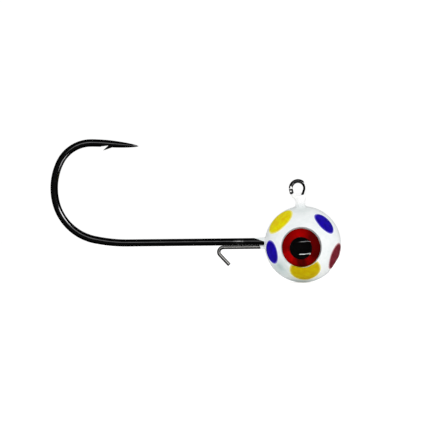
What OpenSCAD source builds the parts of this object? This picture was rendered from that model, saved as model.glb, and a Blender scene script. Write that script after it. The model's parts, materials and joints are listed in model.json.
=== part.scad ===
// Ball jig head: a cast lead ball on a black jig hook, with a wire bait keeper under the shank,
// a white base coat, stamped paint dots and two domed stick-on eyes.
// Millimetres. +X is the nose, +Z is up (the side the hook's point rides on), +Y is the left side.
// The origin is the centre of the line eye, the ring that the line is tied to.

/* [Head] */
// Diameter of the bare lead ball
ball_d = 11.8; // [11.4:0.1:12.4]
// Depth of the flat left on the nose where the casting gate was cut off
gate_cut = 0.2; // [0.1:0.05:0.3]

/* [Paint] */
// Thickness of the white base coat
coat_t = 0.15; // [0.1:0.01:0.18]
// Thickness of a paint dot
dot_t = 0.04; // [0.03:0.01:0.06]

/* [Hook] */
// Wire diameter of the shank and bend
wire_d = 1.1; // [1:0.05:1.2]
// Height of the shank's axis above the ball's centre
shank_rise = 0.5; // [0.4:0.05:0.6]
// Distance from the ball's centre back to the start of the bend
shank_back = 27.7; // [22:0.1:34]
// Gape, from the shank's axis to the highest part of the spear's axis
gape = 15.9; // [13:0.1:18]
// Inside the ball, the radius of the elbow between the shank and the riser
elbow_r = 1.6; // [1.2:0.1:2]
// Length of the tapered needle point
point_l = 5; // [4.5:0.1:6]
// How far the barb stands out from the wire
barb_h = 0.55; // [0.3:0.05:0.6]

/* [Line eye] */
// Diameter of the line eye's hole
line_hole_d = 1.68; // [1.5:0.02:1.8]
// Wire diameter of the line eye, thinner than the shank
line_wire_d = 0.62; // [0.5:0.02:0.7]
// Height of the line eye's centre above the ball's centre
line_rise = 8.9; // [8.7:0.1:9.6]

/* [Bait keeper] */
// Diameter of the keeper wire
keeper_d = 0.54; // [0.5:0.02:0.7]
// Distance from the ball's centre back to the start of the keeper's bend
keeper_back = 12.6; // [10:0.1:16]
// Length of the straight tail after the bend
tail_l = 2.15; // [1.2:0.05:3]

/* [Domed eyes] */
// Diameter of the clear lens
lens_d = 6.1; // [5.8:0.1:6.2]
// Height of the lens's dome above its straight edge
dome_h = 1.2; // [0.9:0.1:1.4]
// Diameter of the black pupil
pupil_d = 3.2; // [2.2:0.1:3.4]

/* [Hidden] */
$fn = 96;
RIGHT = -1;  // the side towards -Y
LEFT = 1;    // the side towards +Y

ball_r = ball_d / 2;
coat_r = ball_r + coat_t;
wire_r = wire_d / 2;
line_wire_r = line_wire_d / 2;
keeper_r = keeper_d / 2;

// Where the steps of a bent wire meet: how far one runs into the next, and how much thicker that is
lap = 0.01;
seam = 0.004;

// Cast-in wires leave this much lead between them, so that no two bores touch
wire_gap = 0.05;
// The riser and the line eye both stand a little behind the ball's centre
riser_x = -0.3;
line_x = -0.68;
// The line eye's hole is pressed round on a pin, which leaves a narrow straight land inside the ring
land_depth = 0.02;
ring_r = line_hole_d / 2 + line_wire_r - land_depth;

// Eye stack, measured out from the ball's middle plane: socket floor, adhesive, foil, lens
socket_floor = 4.75;
socket_clear = 0.25;
adhesive_t = 0.15;
foil_t = 0.06;
lens_edge_t = 0.35;
lens_r = lens_d / 2;
socket_r = lens_r + socket_clear;
dome_r = (lens_r * lens_r + dome_h * dome_h) / (2 * dome_h);
// The eyes sit slightly behind and below the ball's centre. [forward, up] from an eye's middle to its
// socket's and to its pupil's.
domed_eye_x = -0.3;
domed_eye_z = -0.52;
SOCKET_SHIFT = [0, 0.06];
PUPIL_SHIFT = [-0.06, -0.08];

// Gate flat: its direction from the ball's centre, as an angle down from the nose
gate_angle = -33;

// Dots on each side: [angle round the side's axis from the nose, tilt from that axis, half-angle]
REAR_TOP = [135.5, 63, 22];
FRONT_TOP = [43, 53.5, 16.5];
FRONT_LOW = [-19.5, 69.5, 19];
BELLY = [-85.5, 44.5, 24.5];
REAR_LOW = [-167, 60.5, 17];

// ---- Bent wire ------------------------------------------------------------------------------
// A wire lies in the middle plane. It is a list of steps, and each step starts where the last one
// ended: [length, 0, start radius, end radius] is straight, [bend radius, turn, wire radius] is an
// arc, with the turn in degrees, positive from +X towards +Z. A pose is [x, z, heading].

function step_end(p, s) =
    s[1] == 0
    ? [p[0] + s[0] * cos(p[2]), p[1] + s[0] * sin(p[2]), p[2]]
    : let (side = sign(s[1]), out = p[2] + s[1])
        [p[0] + side * s[0] * (sin(out) - sin(p[2])), p[1] - side * s[0] * (cos(out) - cos(p[2])), out];

function pose_at(p, steps, count, i = 0) =
    i == count ? p : pose_at(step_end(p, steps[i]), steps, count, i + 1);

module at_pose(p) {
    translate([p[0], 0, p[1]]) rotate([0, -p[2], 0]) children();
}

// Every second step is a hair thicker, and its thinner neighbours run a little way into it, so that
// the joints close cleanly
module wire_step(s, thick) {
    grow = thick ? seam : 0;
    more = thick ? 0 : lap;
    if (s[1] == 0) translate([-more, 0, 0]) rotate([0, 90, 0])
        cylinder(h = s[0] + 2 * more, r1 = s[2] + grow, r2 = s[3] + grow);
    else mirror([0, 0, s[1] < 0 ? 1 : 0]) translate([0, 0, s[0]])
        rotate([90, 90 + lap_turn(s, more), 0]) rotate_extrude(angle = abs(s[1]) + 2 * lap_turn(s, more))
            translate([s[0], 0]) circle(r = s[2] + grow);
}

function lap_turn(s, more) = more / s[0] * 180 / PI;

// A wire that grows out of another one's thick end starts with a thin step
module wire(start, steps, thin_first = false) {
    first = thin_first ? 1 : 0;
    for (i = [0:len(steps) - 1])
        at_pose(pose_at(start, steps, i)) wire_step(steps[i], (i + first) % 2 == 0);
}

// ---- Hook -----------------------------------------------------------------------------------

elbow_top = [riser_x, shank_rise + elbow_r];
shank_pose = [elbow_top[0], elbow_top[1], -90];
riser_pose = [elbow_top[0], elbow_top[1], 90];

// The bend eases in, opens round the heel and tightens under the spear: radii as shares of the gape
bend = [[1.528, -12.6], [0.502, -63.4], [0.59, -40], [0.344, -64.4]];
spear_arc = [1.89, -4.9];
shank_l = shank_back + riser_x - elbow_r;
// The point is a long cone and then a short steep one
point_share = 0.72;
point_mid_r = 0.5 * wire_r;
tip_r = 0.02;

shank_steps = concat(
    [[elbow_r, -90, wire_r], [shank_l, 0, wire_r, wire_r]],
    [for (b = bend) [b[0] * gape, b[1], wire_r]],
    [[spear_arc[0] * gape, spear_arc[1], wire_r],
     [point_l * point_share, 0, wire_r, point_mid_r],
     [point_l * (1 - point_share), 0, point_mid_r, tip_r]]
);
point_steps = 2;
barb_pose = pose_at(shank_pose, shank_steps, len(shank_steps) - point_steps);

// Above the ball the riser leans forward and narrows. It runs up the nose side of the line eye's ring
// and bends round over it, and its end comes straight down to the paint in the crotch.
kink_r = 0.8;
lean = 20;
taper_l = 0.9;
ring_end_angle = 192;
ring_end_l = 0.7;
side_dx = ring_r * cos(lean) - (riser_x - line_x) - kink_r * (1 - cos(lean));
side_l = side_dx / sin(lean);
kink_start = line_rise - (ring_r + kink_r) * sin(lean) - side_l * cos(lean);
riser_steps = [
    [kink_start - elbow_top[1], 0, wire_r, wire_r],
    [kink_r, -lean, wire_r],
    [taper_l, 0, wire_r, line_wire_r],
    [side_l - taper_l, 0, line_wire_r, line_wire_r],
    [ring_r, lean + ring_end_angle, line_wire_r],
    [ring_end_l, 0, line_wire_r, line_wire_r],
];

module line_hole() {
    translate([line_x, 0, line_rise]) rotate([90, 0, 0])
        cylinder(h = 4 * wire_d, d = line_hole_d, center = true);
}

// In the frame of the spear's end: the barb is a sliver cut from the inside of the wire and raised
barb_w = 0.5;
barb_tip = [-0.5, -wire_r - barb_h];
barb_notch = [0.3, -0.5 * wire_r];
barb_root = [1, -0.85 * wire_r];
cut_back = [-0.95, -wire_r];

module barb_profile(points, width) {
    at_pose(barb_pose) rotate([90, 0, 0])
        linear_extrude(height = width, center = true) polygon(points);
}

module hook() {
    color("#1b1b1d") difference() {
        union() {
            difference() {
                wire(shank_pose, shank_steps);
                barb_profile([barb_notch, cut_back, [barb_tip[0], 2 * barb_tip[1]]], 2 * wire_d);
            }
            barb_profile([barb_notch, barb_tip, barb_root, [barb_root[0], 0], [barb_notch[0], 0]], barb_w);
            wire(riser_pose, riser_steps, thin_first = true);
        }
        line_hole();
    }
}

// What the lead closes round: the hook with the line eye and the bend left off
module buried_hook() {
    wire(shank_pose, [shank_steps[0], shank_steps[1]]);
    wire(riser_pose, [riser_steps[0]], thin_first = true);
}

// ---- Bait keeper ----------------------------------------------------------------------------
// A wire laid under the shank. Outside the ball its end turns back on itself, so that a bait pushed
// on over it can't slide off. Inside the ball its other end turns down and anchors it.

keeper_z = shank_rise - wire_r - wire_gap - keeper_r;
keeper_bend_r = 0.72;
keeper_turn = 133;
anchor_x = -2.4;
anchor_l = 1.4;
keeper_pose = [anchor_x, keeper_z, 180];
keeper_steps = [
    [keeper_back + anchor_x, 0, keeper_r, keeper_r],
    [keeper_bend_r, keeper_turn, keeper_r],
    [tail_l, 0, keeper_r, keeper_r],
];
anchor_pose = [anchor_x, keeper_z, 0];
anchor_steps = [[keeper_bend_r, -90, keeper_r], [anchor_l, 0, keeper_r, keeper_r]];

module keeper_wire() {
    color("#8d8a84") {
        wire(keeper_pose, keeper_steps);
        wire(anchor_pose, anchor_steps, thin_first = true);
    }
}

// ---- Head and paint -------------------------------------------------------------------------

// A ball of radius r with the gate's flat on it, as deep on the paint as on the lead
module gated_ball(r) {
    difference() {
        sphere(r = r);
        rotate([0, 90 - gate_angle, 0]) translate([0, 0, r - gate_cut]) cylinder(h = 2, r = r);
    }
}

module on_side(side, shift = [0, 0]) {
    translate([domed_eye_x + shift[0], 0, domed_eye_z + shift[1]]) rotate([-90 * side, 0, 0]) children();
}

module sockets(r, floor_at) {
    for (side = [RIGHT, LEFT]) on_side(side, SOCKET_SHIFT)
        translate([0, 0, floor_at]) cylinder(h = ball_r, r = r);
}

module lead_blank() {
    difference() {
        gated_ball(ball_r);
        sockets(socket_r + coat_t, socket_floor - coat_t);
    }
}

module lead_head() {
    color("#77797c") difference() {
        lead_blank();
        buried_hook();
        keeper_wire();
    }
}

// Paint climbs the riser, closes the crotch under the line eye, and runs a little way down the shank
neck_r = wire_r + 1.1 * coat_t;
neck_top = line_rise - ring_r;
flare_r = 1.3;
flare_h = 0.55;
web_t = line_wire_d + 2 * coat_t;
web_r = ring_r + line_wire_r + 0.8 * coat_t;
web_top = -0.6 * ring_r;
collar_x = coat_r + 0.8;

module neck_paint() {
    translate([riser_x, 0, 0]) {
        translate([0, 0, ball_r - 1]) cylinder(h = neck_top - ball_r + 1, r = neck_r);
        translate([0, 0, coat_r - 0.2]) cylinder(h = flare_h, r1 = flare_r, r2 = neck_r);
    }
    translate([line_x, 0, line_rise]) intersection() {
        rotate([90, 0, 0]) cylinder(h = web_t, r = web_r, center = true);
        translate([0, 0, web_top - web_r]) cube(2 * web_r, center = true);
    }
}

module shank_paint() {
    translate([-collar_x, 0, shank_rise]) rotate([0, 90, 0]) cylinder(h = 2, r = wire_r + coat_t);
    translate([-collar_x, 0, keeper_z]) rotate([0, 90, 0]) cylinder(h = 2, r = keeper_r + coat_t);
}

module base_coat() {
    color("#f2f6f5") difference() {
        union() {
            difference() {
                gated_ball(coat_r);
                sockets(socket_r, socket_floor);
            }
            neck_paint();
            shank_paint();
        }
        lead_blank();
        hook();
        keeper_wire();
        line_hole();
    }
}

// A dot is a disc of paint film on the base coat, stopped by the eye's socket
module dot(side, place, paint) {
    turn = place[0];
    tilt = place[1];
    out = [sin(tilt) * cos(turn), side * cos(tilt), sin(tilt) * sin(turn)];
    color(paint) intersection() {
        difference() {
            gated_ball(coat_r + dot_t);
            gated_ball(coat_r);
            sockets(socket_r, 0);
        }
        rotate([0, acos(out[2]), atan2(out[1], out[0])])
            cylinder(h = 2 * coat_r, r = coat_r * sin(place[2]));
    }
}

// ---- Domed eyes -----------------------------------------------------------------------------
// Each is a stack on the socket's floor: adhesive pad, printed foil (red iris round a black pupil),
// clear lens.

foil_at = socket_floor + adhesive_t;
lens_at = foil_at + foil_t;
pad_inset = 0.3;
foil_inset = 0.05;

module eye_adhesive(side) {
    color("#d9d9d2") on_side(side) translate([0, 0, socket_floor])
        cylinder(h = adhesive_t, r = lens_r - pad_inset);
}

module eye_iris(side) {
    color("#a00808") difference() {
        on_side(side) translate([0, 0, foil_at]) cylinder(h = foil_t, r = lens_r - foil_inset);
        on_side(side, PUPIL_SHIFT) cylinder(h = ball_r, d = pupil_d);
    }
}

module eye_pupil(side) {
    color("#060606") on_side(side, PUPIL_SHIFT) translate([0, 0, foil_at])
        cylinder(h = foil_t, d = pupil_d);
}

module eye_lens(side) {
    color("#f4f8fa", 0.35) on_side(side) translate([0, 0, lens_at]) intersection() {
        cylinder(h = lens_edge_t + dome_h, r = lens_r);
        translate([0, 0, lens_edge_t + dome_h - dome_r]) sphere(r = dome_r);
    }
}

// ---- Nodes ----------------------------------------------------------------------------------

module shown(name) {
    translate([-line_x, 0, -line_rise]) children();
}

YELLOW = "#d8c400";
BLUE = "#1a0a9c";
RED = "#8c1a24";

shown("hook") hook();
shown("keeper_wire") keeper_wire();
shown("lead_head") lead_head();
shown("base_coat") base_coat();
shown("right_eye_adhesive") eye_adhesive(RIGHT);
shown("right_eye_iris") eye_iris(RIGHT);
shown("right_eye_pupil") eye_pupil(RIGHT);
shown("right_eye_lens") eye_lens(RIGHT);
shown("left_eye_adhesive") eye_adhesive(LEFT);
shown("left_eye_iris") eye_iris(LEFT);
shown("left_eye_pupil") eye_pupil(LEFT);
shown("left_eye_lens") eye_lens(LEFT);
shown("right_yellow_dot_rear_top") dot(RIGHT, REAR_TOP, YELLOW);
shown("right_blue_dot_front_top") dot(RIGHT, FRONT_TOP, BLUE);
shown("right_red_dot_front_low") dot(RIGHT, FRONT_LOW, RED);
shown("right_yellow_dot_belly") dot(RIGHT, BELLY, YELLOW);
shown("right_blue_dot_rear_low") dot(RIGHT, REAR_LOW, BLUE);
shown("left_yellow_dot_rear_top") dot(LEFT, REAR_TOP, YELLOW);
shown("left_blue_dot_front_top") dot(LEFT, FRONT_TOP, BLUE);
shown("left_red_dot_front_low") dot(LEFT, FRONT_LOW, RED);
shown("left_yellow_dot_belly") dot(LEFT, BELLY, YELLOW);
shown("left_blue_dot_rear_low") dot(LEFT, REAR_LOW, BLUE);
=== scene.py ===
import json
import math

import bmesh
import bpy
import numpy as np
import openvdb
from mathutils import Matrix, Vector


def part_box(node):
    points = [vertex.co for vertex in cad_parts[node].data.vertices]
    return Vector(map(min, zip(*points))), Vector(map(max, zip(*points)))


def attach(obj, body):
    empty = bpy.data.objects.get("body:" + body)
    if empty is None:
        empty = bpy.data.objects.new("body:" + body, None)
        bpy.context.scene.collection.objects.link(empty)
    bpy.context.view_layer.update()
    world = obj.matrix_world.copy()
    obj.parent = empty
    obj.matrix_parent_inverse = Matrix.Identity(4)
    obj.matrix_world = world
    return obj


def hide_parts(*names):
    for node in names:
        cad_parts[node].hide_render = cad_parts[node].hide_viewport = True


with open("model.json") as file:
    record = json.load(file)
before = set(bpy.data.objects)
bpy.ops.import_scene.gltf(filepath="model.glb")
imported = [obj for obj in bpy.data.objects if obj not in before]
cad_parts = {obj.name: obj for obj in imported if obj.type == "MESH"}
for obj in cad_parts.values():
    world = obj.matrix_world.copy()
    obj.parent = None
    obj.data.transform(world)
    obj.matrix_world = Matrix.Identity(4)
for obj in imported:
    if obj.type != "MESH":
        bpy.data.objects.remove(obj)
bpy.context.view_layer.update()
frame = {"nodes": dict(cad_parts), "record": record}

# Lengths are in millimetres and in the ball's own frame: the origin is the ball's centre, +X the
# nose, +Z up. place() turns them into metres in the shared frame.
MM = 0.001
BALL = sum(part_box("lead_head"), Vector()) / 2
SIDES = {"right": -1, "left": 1}


def local_box(node):
    low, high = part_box(node)
    return (low - BALL) / MM, (high - BALL) / MM


def centre_of(node):
    """X and Z of the middle of a node."""
    low, high = local_box(node)
    return np.array([(low.x + high.x) / 2, (low.z + high.z) / 2])


def mount(name):
    found = [m for m in frame["record"]["mounts"] if m["name"] == name][0]
    return (Vector(found["pos_m"]) - BALL) / MM, found["dims"]


def place(points):
    return np.asarray(points, float) * MM + np.array(BALL)


# ---- Sizes read from the frame ----

HOOK_LOW, HOOK_HIGH = local_box("hook")
KEEPER_LOW, KEEPER_HIGH = local_box("keeper_wire")
LINE_EYE, LINE_DIMS = mount("line_eye")
SHANK, SHANK_DIMS = mount("bait_shank")

COAT_R = local_box("base_coat")[1].x
WIRE_R = SHANK_DIMS["r_mm"]
SHANK_Z = SHANK.z
LINE_R = LINE_DIMS["r_mm"]


# ---- Mesh helpers ----

EYE_TURNS = 128  # points round each part of an eye
WAVES = 5  # how many waves a wobble is made of


def new_object(name, points, faces, material=None, rim=None, uv=None):
    """A smooth shaded mesh from points in the ball's frame."""
    mesh = bpy.data.meshes.new(name)
    mesh.from_pydata(place(points).tolist(), [], [list(f) for f in faces])
    mesh.validate()
    mesh.update()
    if rim is not None:
        layer = mesh.attributes.new("rim", "FLOAT", "POINT")
        layer.data.foreach_set("value", np.asarray(rim, np.float32))
    if uv is not None:
        layer = mesh.uv_layers.new(name="wire")
        corners = np.zeros(len(mesh.loops), np.int32)
        mesh.loops.foreach_get("vertex_index", corners)
        layer.data.foreach_set("uv", np.asarray(uv, np.float32)[corners].ravel())
    mesh.shade_smooth()
    obj = bpy.data.objects.new(name, mesh)
    bpy.context.scene.collection.objects.link(obj)
    if material is not None:
        mesh.materials.append(material)
    return obj


def full_turn(count):
    return np.arange(count) * math.tau / count


def grid_faces(rows, turns):
    """Faces between rings of points, given ring after ring."""
    faces = []
    for i in range(rows - 1):
        for j in range(turns):
            k = (j + 1) % turns
            faces.append((i * turns + j, i * turns + k, (i + 1) * turns + k, (i + 1) * turns + j))
    return faces


def closed_rings(rings, start, end):
    """Points and faces of rings joined in order, closed by a fan to start and to end."""
    turns = len(rings[0])
    points = np.concatenate([*rings, [start, end]])
    faces = grid_faces(len(rings), turns)
    first, last = len(points) - 2, len(points) - 1
    base = (len(rings) - 1) * turns
    faces += [(first, (j + 1) % turns, j) for j in range(turns)]
    faces += [(last, base + j, base + (j + 1) % turns) for j in range(turns)]
    return points, faces


def face_outward(obj):
    mesh = bmesh.new()
    mesh.from_mesh(obj.data)
    bmesh.ops.recalc_face_normals(mesh, faces=mesh.faces)
    mesh.to_mesh(obj.data)
    mesh.free()
    return obj


def eye_ring(radius, height, x=0, z=0):
    angle = full_turn(EYE_TURNS)
    return np.stack([x + radius * np.cos(angle), z + radius * np.sin(angle), np.full(EYE_TURNS, height)], 1)


def lathe(profile):
    """Points and faces of a profile of (radius, height) turned about the height's axis."""
    rings = [eye_ring(*corner) for corner in profile[1:-1]]
    return closed_rings(rings, (0, 0, profile[0][1]), (0, 0, profile[-1][1]))


def boolean(target, other, operation):
    """Applies an exact boolean to target's own mesh."""
    modifier = target.modifiers.new(operation, "BOOLEAN")
    modifier.operation = operation
    modifier.solver = "EXACT"
    modifier.object = other
    graph = bpy.context.evaluated_depsgraph_get()
    mesh = bpy.data.meshes.new_from_object(target.evaluated_get(graph))
    target.modifiers.clear()
    old = target.data
    target.data = mesh
    bpy.data.meshes.remove(old)


def drop_crumbs(obj, fewest):
    """Removes the separate bits of a mesh that have fewer vertices than this."""
    mesh = bmesh.new()
    mesh.from_mesh(obj.data)
    left = set(mesh.verts)
    crumbs = []
    while left:
        bit, queue = [], [left.pop()]
        while queue:
            vert = queue.pop()
            bit.append(vert)
            near = {edge.other_vert(vert) for edge in vert.link_edges} & left
            left -= near
            queue += near
        if len(bit) < fewest:
            crumbs += bit
    bmesh.ops.delete(mesh, geom=crumbs, context="VERTS")
    mesh.to_mesh(obj.data)
    mesh.free()


def discard(*objects):
    for obj in objects:
        bpy.data.objects.remove(obj)


def smooth_max(a, b, k):
    h = np.clip(0.5 + 0.5 * (a - b) / k, 0, 1)
    return b * (1 - h) + a * h + k * h * (1 - h)


def smooth_min(a, b, k):
    return -smooth_max(-a, -b, k)


def ramp(x, low, high):
    t = np.clip((x - low) / (high - low), 0, 1)
    return t * t * (3 - 2 * t)


def waves(x, seed):
    """A smooth wobble round a turn, between about -1 and 1, the same on every run."""
    rng = np.random.default_rng(seed)
    out = 0
    for n in range(1, WAVES + 1):
        out = out + rng.uniform(-1, 1) * np.sin(n * x + rng.uniform(0, math.tau)) / n
    return out


def stand_in(obj, node):
    """The piece rides on the one body, and is seen in place of its CAD node."""
    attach(obj, "root")
    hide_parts(node)
    return obj


# ---- Bent wire ----
# A step is ("line", length) or ("arc", radius, turn), with the turn positive from +X towards +Z.

def walk(start, heading, steps, pitch):
    """Points and tangents in the middle plane, evenly spaced within each step."""
    x, z = start
    points, tangents = [(x, z)], [heading]
    for step in steps:
        if step[0] == "line":
            count = max(2, math.ceil(step[1] / pitch))
            for i in range(1, count + 1):
                d = step[1] * i / count
                points.append((x + d * math.cos(heading), z + d * math.sin(heading)))
                tangents.append(heading)
        else:
            radius, turn = step[1], math.radians(step[2])
            side = math.copysign(1, turn)
            count = max(4, math.ceil(radius * abs(turn) / min(pitch, radius * 0.08)))
            for i in range(1, count + 1):
                out = heading + turn * i / count
                points.append((x + side * radius * (math.sin(out) - math.sin(heading)),
                               z - side * radius * (math.cos(out) - math.cos(heading))))
                tangents.append(out)
        (x, z), heading = points[-1], tangents[-1]
    return np.array(points), np.array(tangents)


def join(back, on):
    """One path, back from the end of the first walk to where both start, and on along the second."""
    points = np.concatenate([back[0][::-1], on[0][1:]])
    headings = np.concatenate([back[1][::-1] + math.pi, on[1][1:]])
    return points, np.unwrap(headings)


def along(points):
    return np.concatenate([[0], np.cumsum(np.linalg.norm(np.diff(points, axis=0), axis=1))])


def tube(points, headings, in_plane, across, turns=32):
    """A tube about a path in the middle plane, with its own radius in the plane and across it."""
    angle = full_turn(turns)
    nx, nz = -np.sin(headings), np.cos(headings)
    u = in_plane[:, None] * np.cos(angle)[None, :]
    v = across[:, None] * np.sin(angle)[None, :]
    x = points[:, 0, None] + u * nx[:, None]
    z = points[:, 1, None] + u * nz[:, None]
    rows = len(points)
    verts = np.stack([x, v, z], 2).reshape(-1, 3)
    faces = grid_faces(rows, turns)
    faces.append(tuple(range(turns)))
    faces.append(tuple((rows - 1) * turns + j for j in range(turns)))
    s = along(points)
    uv = np.stack([np.repeat(s, turns), np.tile(angle, rows)], 1)
    return verts, faces, uv


def round_end(distance, radius, depth):
    """Factor that closes a wire with a slightly rounded cut, from the distance to its end."""
    t = np.clip(distance / depth, 0, 1)
    return 1 - (1 - np.sqrt(1 - (1 - t) ** 2)) * min(1, depth / radius)


# ---- Hook ----

RING_SPARE = 0.02  # the ring's wire reaches this far into the line's clear bore
LINE_WIRE_R = 0.31  # the line eye's wire is thinner than the shank's
RING_R = LINE_R + LINE_WIRE_R - RING_SPARE
RISER_X = -0.3
ELBOW_R = 1.6
KINK_R = 0.8
LEAN = 20  # of the straight side up to the ring, in degrees
RING_END_ANGLE = 192  # round the ring from the nose
RING_END_L = 0.7
RING_CUT = 0.06  # how far the rounding of its cut end goes
TAPER_L = 0.9
GAPE = HOOK_HIGH.z - SHANK_Z - WIRE_R
# The bend and the spear as arcs: radius as a share of the gape, and turn in degrees
BEND_ARCS = ((1.528, -12.6), (0.502, -63.4), (0.59, -40), (0.344, -64.4), (1.89, -4.9))
POINT_L = 5.0
PLATING = 0.02  # how much the black plating adds to the wire's radius outside the ball
POINT_CURVE = 1.6  # the point tapers as (1 - share ** POINT_CURVE) ** POINT_BLUNT
POINT_BLUNT = 0.65
TIP_SHARE = 0.02  # share of the wire's radius that is left at the tip
FORGE_IN_PLANE = 1.045  # the bend is forged: taller in its plane and thinner across
FORGE_ACROSS = 0.93
RISER_PITCH = 0.12  # spacing of the rings of points
SHANK_PITCH = 0.14
# The barb, along and across the spear from the start of the point: the notch cut under it, and the
# middle line, half width and half thickness of the tongue that is raised from the wire
BARB_CUT = ((0.36, -0.24), (0.1, -0.31), (-0.4, -0.42), (-1.0, -0.56), (-1.0, -1.6), (-0.3, -1.6))
BARB_SPINE = ((0.9, -0.12), (0.52, -0.37), (0.26, -0.55), (0.0, -0.74), (-0.25, -0.92), (-0.42, -1.04),
              (-0.53, -1.12))
BARB_WIDTH = (0.36, 0.42, 0.38, 0.30, 0.20, 0.11, 0.03)
BARB_THICK = (0.28, 0.30, 0.235, 0.165, 0.095, 0.045, 0.012)
BARB_STEPS = 40


def riser_shape():
    """Height of the start of the riser's lean, and length of the straight side up to the ring."""
    lean = math.radians(LEAN)
    side_dx = RING_R * math.cos(lean) - (RISER_X - LINE_EYE.x) - KINK_R * (1 - math.cos(lean))
    side_l = side_dx / math.sin(lean)
    start = LINE_EYE.z - (RING_R + KINK_R) * math.sin(lean) - side_l * math.cos(lean)
    return start, side_l


def riser_path():
    """From the elbow up the riser and its side, round the ring and down its straight end."""
    start, side_l = riser_shape()
    top = SHANK_Z + ELBOW_R
    steps = [("line", start - top), ("arc", KINK_R, -LEAN), ("line", side_l),
             ("arc", RING_R, LEAN + RING_END_ANGLE), ("line", RING_END_L)]
    return walk((RISER_X, top), math.pi / 2, steps, RISER_PITCH)


def shank_path(bend_x):
    """From the elbow along the shank to bend_x, round the bend and along the spear to the tip."""
    bend = [("arc", share * GAPE, turn) for share, turn in BEND_ARCS]
    steps = [("arc", ELBOW_R, -90), ("line", RISER_X - ELBOW_R - bend_x), *bend, ("line", POINT_L)]
    return walk((RISER_X, SHANK_Z + ELBOW_R), -math.pi / 2, steps, SHANK_PITCH)


def hook_wire():
    """The whole wire from the ring's tail to the tip of the point, and where its parts begin."""
    points, _ = shank_path(0)
    bend_x = HOOK_LOW.x - (points[:, 0].min() - WIRE_R)
    riser = riser_path()
    points, headings = join(riser, shank_path(bend_x))
    s = along(points)
    return points, headings, s, s[len(riser[0]) - 1], bend_x


def hook_radii(points, s, elbow_s, bend_x):
    """The wire's radius in the middle plane and across it, all along."""
    ring_l = math.radians(LEAN + RING_END_ANGLE) * RING_R + RING_END_L
    taper_s = ring_l + riser_shape()[1] - TAPER_L
    radius = LINE_WIRE_R + (WIRE_R - LINE_WIRE_R) * ramp(s, taper_s - 0.3, taper_s + TAPER_L + 0.1)
    bend_s = elbow_s + ELBOW_R * math.pi / 2 + (RISER_X - ELBOW_R - bend_x)
    point_s = s[-1] - POINT_L
    forge = ramp(s, bend_s, bend_s + 5) * (1 - ramp(s, point_s - 3, point_s + 1))
    u = np.clip((s - point_s) / POINT_L, 0, 1)
    taper = np.maximum((1 - u ** POINT_CURVE) ** POINT_BLUNT, TIP_SHARE)
    radius = radius + PLATING * ramp(-points[:, 0], COAT_R - 0.5, COAT_R)
    radius = radius * taper * round_end(s, LINE_WIRE_R, RING_CUT)
    return radius * (1 + (FORGE_IN_PLANE - 1) * forge), radius * (1 + (FORGE_ACROSS - 1) * forge)


def in_spear(pose, points):
    """Points given along and across the spear at the start of the point, in the ball's frame."""
    x, z, heading = pose
    c, n = math.cos(heading), math.sin(heading)
    return [(x + a * c - b * n, z + a * n + b * c) for a, b in points]


def prism(outline, half_width, name):
    n = len(outline)
    points = [(x, side * half_width, z) for side in (-1, 1) for x, z in outline]
    faces = [tuple(range(n)), tuple(range(n, 2 * n))]
    faces += [(j, (j + 1) % n, n + (j + 1) % n, n + j) for j in range(n)]
    return face_outward(new_object(name, points, faces))


def barb_sliver(pose):
    """A thin tongue raised from the inside of the wire, widest at its root."""
    at = np.arange(len(BARB_SPINE))
    fine = np.linspace(0, len(BARB_SPINE) - 1, BARB_STEPS)
    along_it, across_it = zip(*BARB_SPINE)
    along_it, across_it, width, thick = (np.interp(fine, at, values) for values in
                                         (along_it, across_it, BARB_WIDTH, BARB_THICK))
    placed = np.array(in_spear(pose, zip(along_it, across_it)))
    step = np.gradient(placed, axis=0)
    heading = np.arctan2(step[:, 1], step[:, 0])
    verts, faces, _ = tube(placed, heading, thick, width, 20)
    return face_outward(new_object("barb_sliver", verts, faces))


def build_hook(material):
    points, headings, s, elbow_s, bend_x = hook_wire()
    in_plane, across = hook_radii(points, s, elbow_s, bend_x)
    verts, faces, uv = tube(points, headings, in_plane, across)
    hook = face_outward(new_object("hook_wire", verts, faces, material, uv=uv))
    i = int(np.argmin(np.abs(s - (s[-1] - POINT_L))))
    pose = (points[i, 0], points[i, 1], headings[i])
    cutter = prism(in_spear(pose, BARB_CUT), 1.0, "barb_cut")
    boolean(hook, cutter, "DIFFERENCE")
    barb = barb_sliver(pose)
    boolean(hook, barb, "UNION")
    discard(cutter, barb)
    hook.data.shade_smooth()
    return stand_in(hook, "hook")


# ---- Bait keeper ----

KEEPER_R = KEEPER_HIGH.y
KEEPER_BEND_R = 0.72
KEEPER_TURN = 133  # of the end that is turned back, in degrees
KEEPER_CUT = 0.03  # how far the rounding of its cut end goes
ANCHOR_X = -2.4  # the keeper turns down here inside the ball, and runs on for ANCHOR_L
ANCHOR_L = 1.4
KEEPER_PITCH = 0.1  # spacing of the rings of points along the keeper
SPRUNG = 0.015  # how much fatter the keeper's wire is outside the ball
KEEPER_GAP = 0.005  # between it and the shank
KEEPER_Z = SHANK_Z - WIRE_R - PLATING - KEEPER_R - SPRUNG - KEEPER_GAP


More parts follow.
